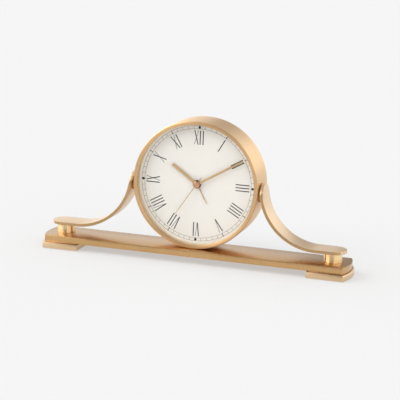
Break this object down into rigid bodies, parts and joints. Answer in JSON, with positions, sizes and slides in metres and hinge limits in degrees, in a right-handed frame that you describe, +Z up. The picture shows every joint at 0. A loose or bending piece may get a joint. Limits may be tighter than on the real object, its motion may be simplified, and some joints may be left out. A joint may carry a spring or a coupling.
{
  "type": "tambour mantel clock",
  "caption": "Upright drum clock with Roman dial and alarm, held by two curved strap arms on a long gold base plate with bowed ends.",
  "frame": {"origin": "centre of the footprint, on the plane the foot pads rest on", "axes": "+Z up, the dial faces -Y, +X to the right as seen from the front"},
  "size_m": [0.3224, 0.0494, 0.1429],
  "materials": {
    "satin_gold": "fine brushed, anodised champagne gold",
    "ring_gold": "satin gold",
    "polished_gold": "mirror polished",
    "hand_gold": "satin gold plate",
    "dial_white": "matt warm white print",
    "glass": "clear mineral glass",
    "rubber": "soft matt",
    "steel": "zinc plated",
    "black_plastic": "fine moulded texture",
    "housing_plastic": "moulded satin",
    "gear_plastic": "natural acetal",
    "gear_brass": "turned",
    "magnet": "sintered dark grey",
    "battery_wrap": "plain printed sleeve",
    "contact_steel": "nickel plated",
    "board_green": "solder mask",
    "coil_copper": "enamelled copper wire",
    "buzzer_black": "moulded"
  },
  "bodies": {
    "stand": {"base_plate": "satin_gold", "left_foot": "satin_gold", "right_foot": "satin_gold", "foot_pads": "rubber", "foot_screws": "steel", "left_pillar": "polished_gold", "right_pillar": "polished_gold", "pillar_screws": "steel", "left_arm": "satin_gold", "right_arm": "satin_gold", "left_spacer": "satin_gold", "right_spacer": "satin_gold", "arm_nuts": "steel", "case_screw": "steel", "case_nut": "steel", "case_drum": "satin_gold", "glass_seal": "rubber", "glass": "glass", "dial_ring": "ring_gold", "dial": "dial_white", "mounting_frame": "black_plastic", "rear_cover": "black_plastic", "rear_cover_screws": "steel", "movement_front": "housing_plastic", "movement_back": "housing_plastic", "battery": "battery_wrap", "positive_contact": "contact_steel", "negative_contact": "contact_steel", "circuit_board": "board_green", "quartz_crystal": "contact_steel", "coil": "coil_copper", "stator": "steel", "buzzer": "buzzer_black"},
    "second": {"second_gear": "gear_plastic", "second_hand": "hand_gold"},
    "third": {"third_gear": "gear_plastic"},
    "centre": {"centre_wheel": "gear_brass"},
    "intermediate": {"intermediate_gear": "gear_plastic"},
    "rotor": {"rotor": "magnet"},
    "minute": {"minute_arbor": "gear_brass", "minute_hand": "hand_gold"},
    "motion": {"motion_gear": "gear_plastic"},
    "hour": {"hour_gear": "gear_plastic", "hour_hand": "hand_gold"},
    "time_setting": {"setting_gear": "gear_plastic", "time_knob": "black_plastic"},
    "alarm": {"alarm_gear": "gear_plastic", "alarm_hand": "hand_gold"},
    "alarm_setting": {"alarm_setting_gear": "gear_plastic", "alarm_knob": "black_plastic"},
    "switch": {"alarm_switch": "black_plastic"},
    "cell_cover": {"battery_cover": "housing_plastic"}
  },
  "joints": [
    {"name": "second_turn", "type": "hinge", "parent": "stand", "child": "second", "pos_m": [0, 0.006, 0.0784], "axis": [0, 1, 0], "continuous": true},
    {"name": "third_turn", "type": "hinge", "parent": "stand", "child": "third", "pos_m": [-0.00456, 0.006, 0.08819], "axis": [0, 1, 0], "continuous": true},
    {"name": "centre_turn", "type": "hinge", "parent": "stand", "child": "centre", "pos_m": [0, 0.006, 0.0784], "axis": [0, 1, 0], "continuous": true},
    {"name": "intermediate_turn", "type": "hinge", "parent": "stand", "child": "intermediate", "pos_m": [0.00909, 0.006, 0.08365], "axis": [0, 1, 0], "continuous": true},
    {"name": "rotor_turn", "type": "hinge", "parent": "stand", "child": "rotor", "pos_m": [0.01269, 0.006, 0.08989], "axis": [0, 1, 0], "continuous": true},
    {"name": "minute_turn", "type": "hinge", "parent": "stand", "child": "minute", "pos_m": [0, 0.006, 0.0784], "axis": [0, 1, 0], "continuous": true},
    {"name": "motion_turn", "type": "hinge", "parent": "stand", "child": "motion", "pos_m": [0.00846, 0.006, 0.07532], "axis": [0, 1, 0], "continuous": true},
    {"name": "hour_turn", "type": "hinge", "parent": "stand", "child": "hour", "pos_m": [0, 0.006, 0.0784], "axis": [0, 1, 0], "continuous": true},
    {"name": "time_knob_turn", "type": "hinge", "parent": "stand", "child": "time_setting", "pos_m": [0.01732, 0.006, 0.07688], "axis": [0, 1, 0], "continuous": true},
    {"name": "alarm_turn", "type": "hinge", "parent": "stand", "child": "alarm", "pos_m": [0, 0.006, 0.0784], "axis": [0, 1, 0], "continuous": true},
    {"name": "alarm_knob_turn", "type": "hinge", "parent": "stand", "child": "alarm_setting", "pos_m": [-0.01418, 0.006, 0.0759], "axis": [0, 1, 0], "continuous": true},
    {"name": "alarm_switch_slide", "type": "slide", "parent": "stand", "child": "switch", "axis": [1, 0, 0], "range_m": [0, 0.004]},
    {"name": "battery_cover_lift", "type": "slide", "parent": "stand", "child": "cell_cover", "axis": [0, 1, 0], "range_m": [0, 0.03]}
  ],
  "couplings": [
    {"joint": "third_turn", "follows": "second_turn", "ratio": -0.13333},
    {"joint": "centre_turn", "follows": "second_turn", "ratio": 0.016667},
    {"joint": "intermediate_turn", "follows": "second_turn", "ratio": -6},
    {"joint": "rotor_turn", "follows": "second_turn", "ratio": 30},
    {"joint": "motion_turn", "follows": "minute_turn", "ratio": -0.33333},
    {"joint": "hour_turn", "follows": "minute_turn", "ratio": 0.083333},
    {"joint": "time_knob_turn", "follows": "minute_turn", "ratio": 1},
    {"joint": "alarm_knob_turn", "follows": "alarm_turn", "ratio": -1}
  ]
}
